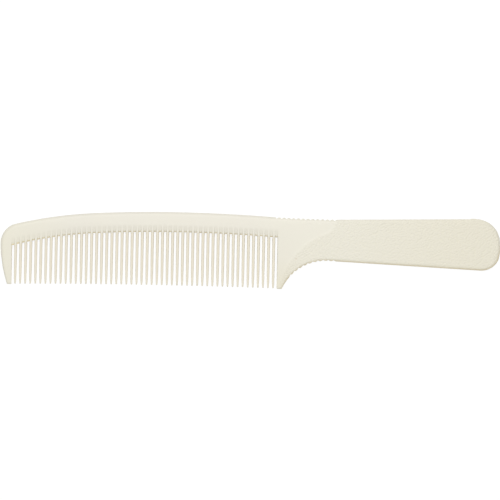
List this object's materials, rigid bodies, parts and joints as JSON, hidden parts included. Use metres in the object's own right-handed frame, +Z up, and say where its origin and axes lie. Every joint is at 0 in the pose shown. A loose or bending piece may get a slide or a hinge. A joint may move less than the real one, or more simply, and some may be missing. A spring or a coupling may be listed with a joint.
{
  "type": "handled grooming comb",
  "caption": "One-piece moulded comb with an arched back, a row of tapered teeth between two end guards, a finger notch with gripping grooves and a broad flat handle.",
  "frame": {"origin": "under the middle of the comb as it lies flat, at the surface it lies on", "axes": "+X along the comb towards the end of the handle, +Y from the tooth tips to the back, +Z up through the thickness"},
  "size_m": [0.215, 0.0322, 0.004],
  "materials": {
    "cream_plastic": "satin teeth and spine, fine leather grain on the handle"
  },
  "bodies": {
    "root": {"spine": "cream_plastic", "teeth": "cream_plastic", "tip_guard": "cream_plastic", "heel_guard": "cream_plastic", "neck": "cream_plastic", "handle": "cream_plastic"}
  },
  "joints": []
}
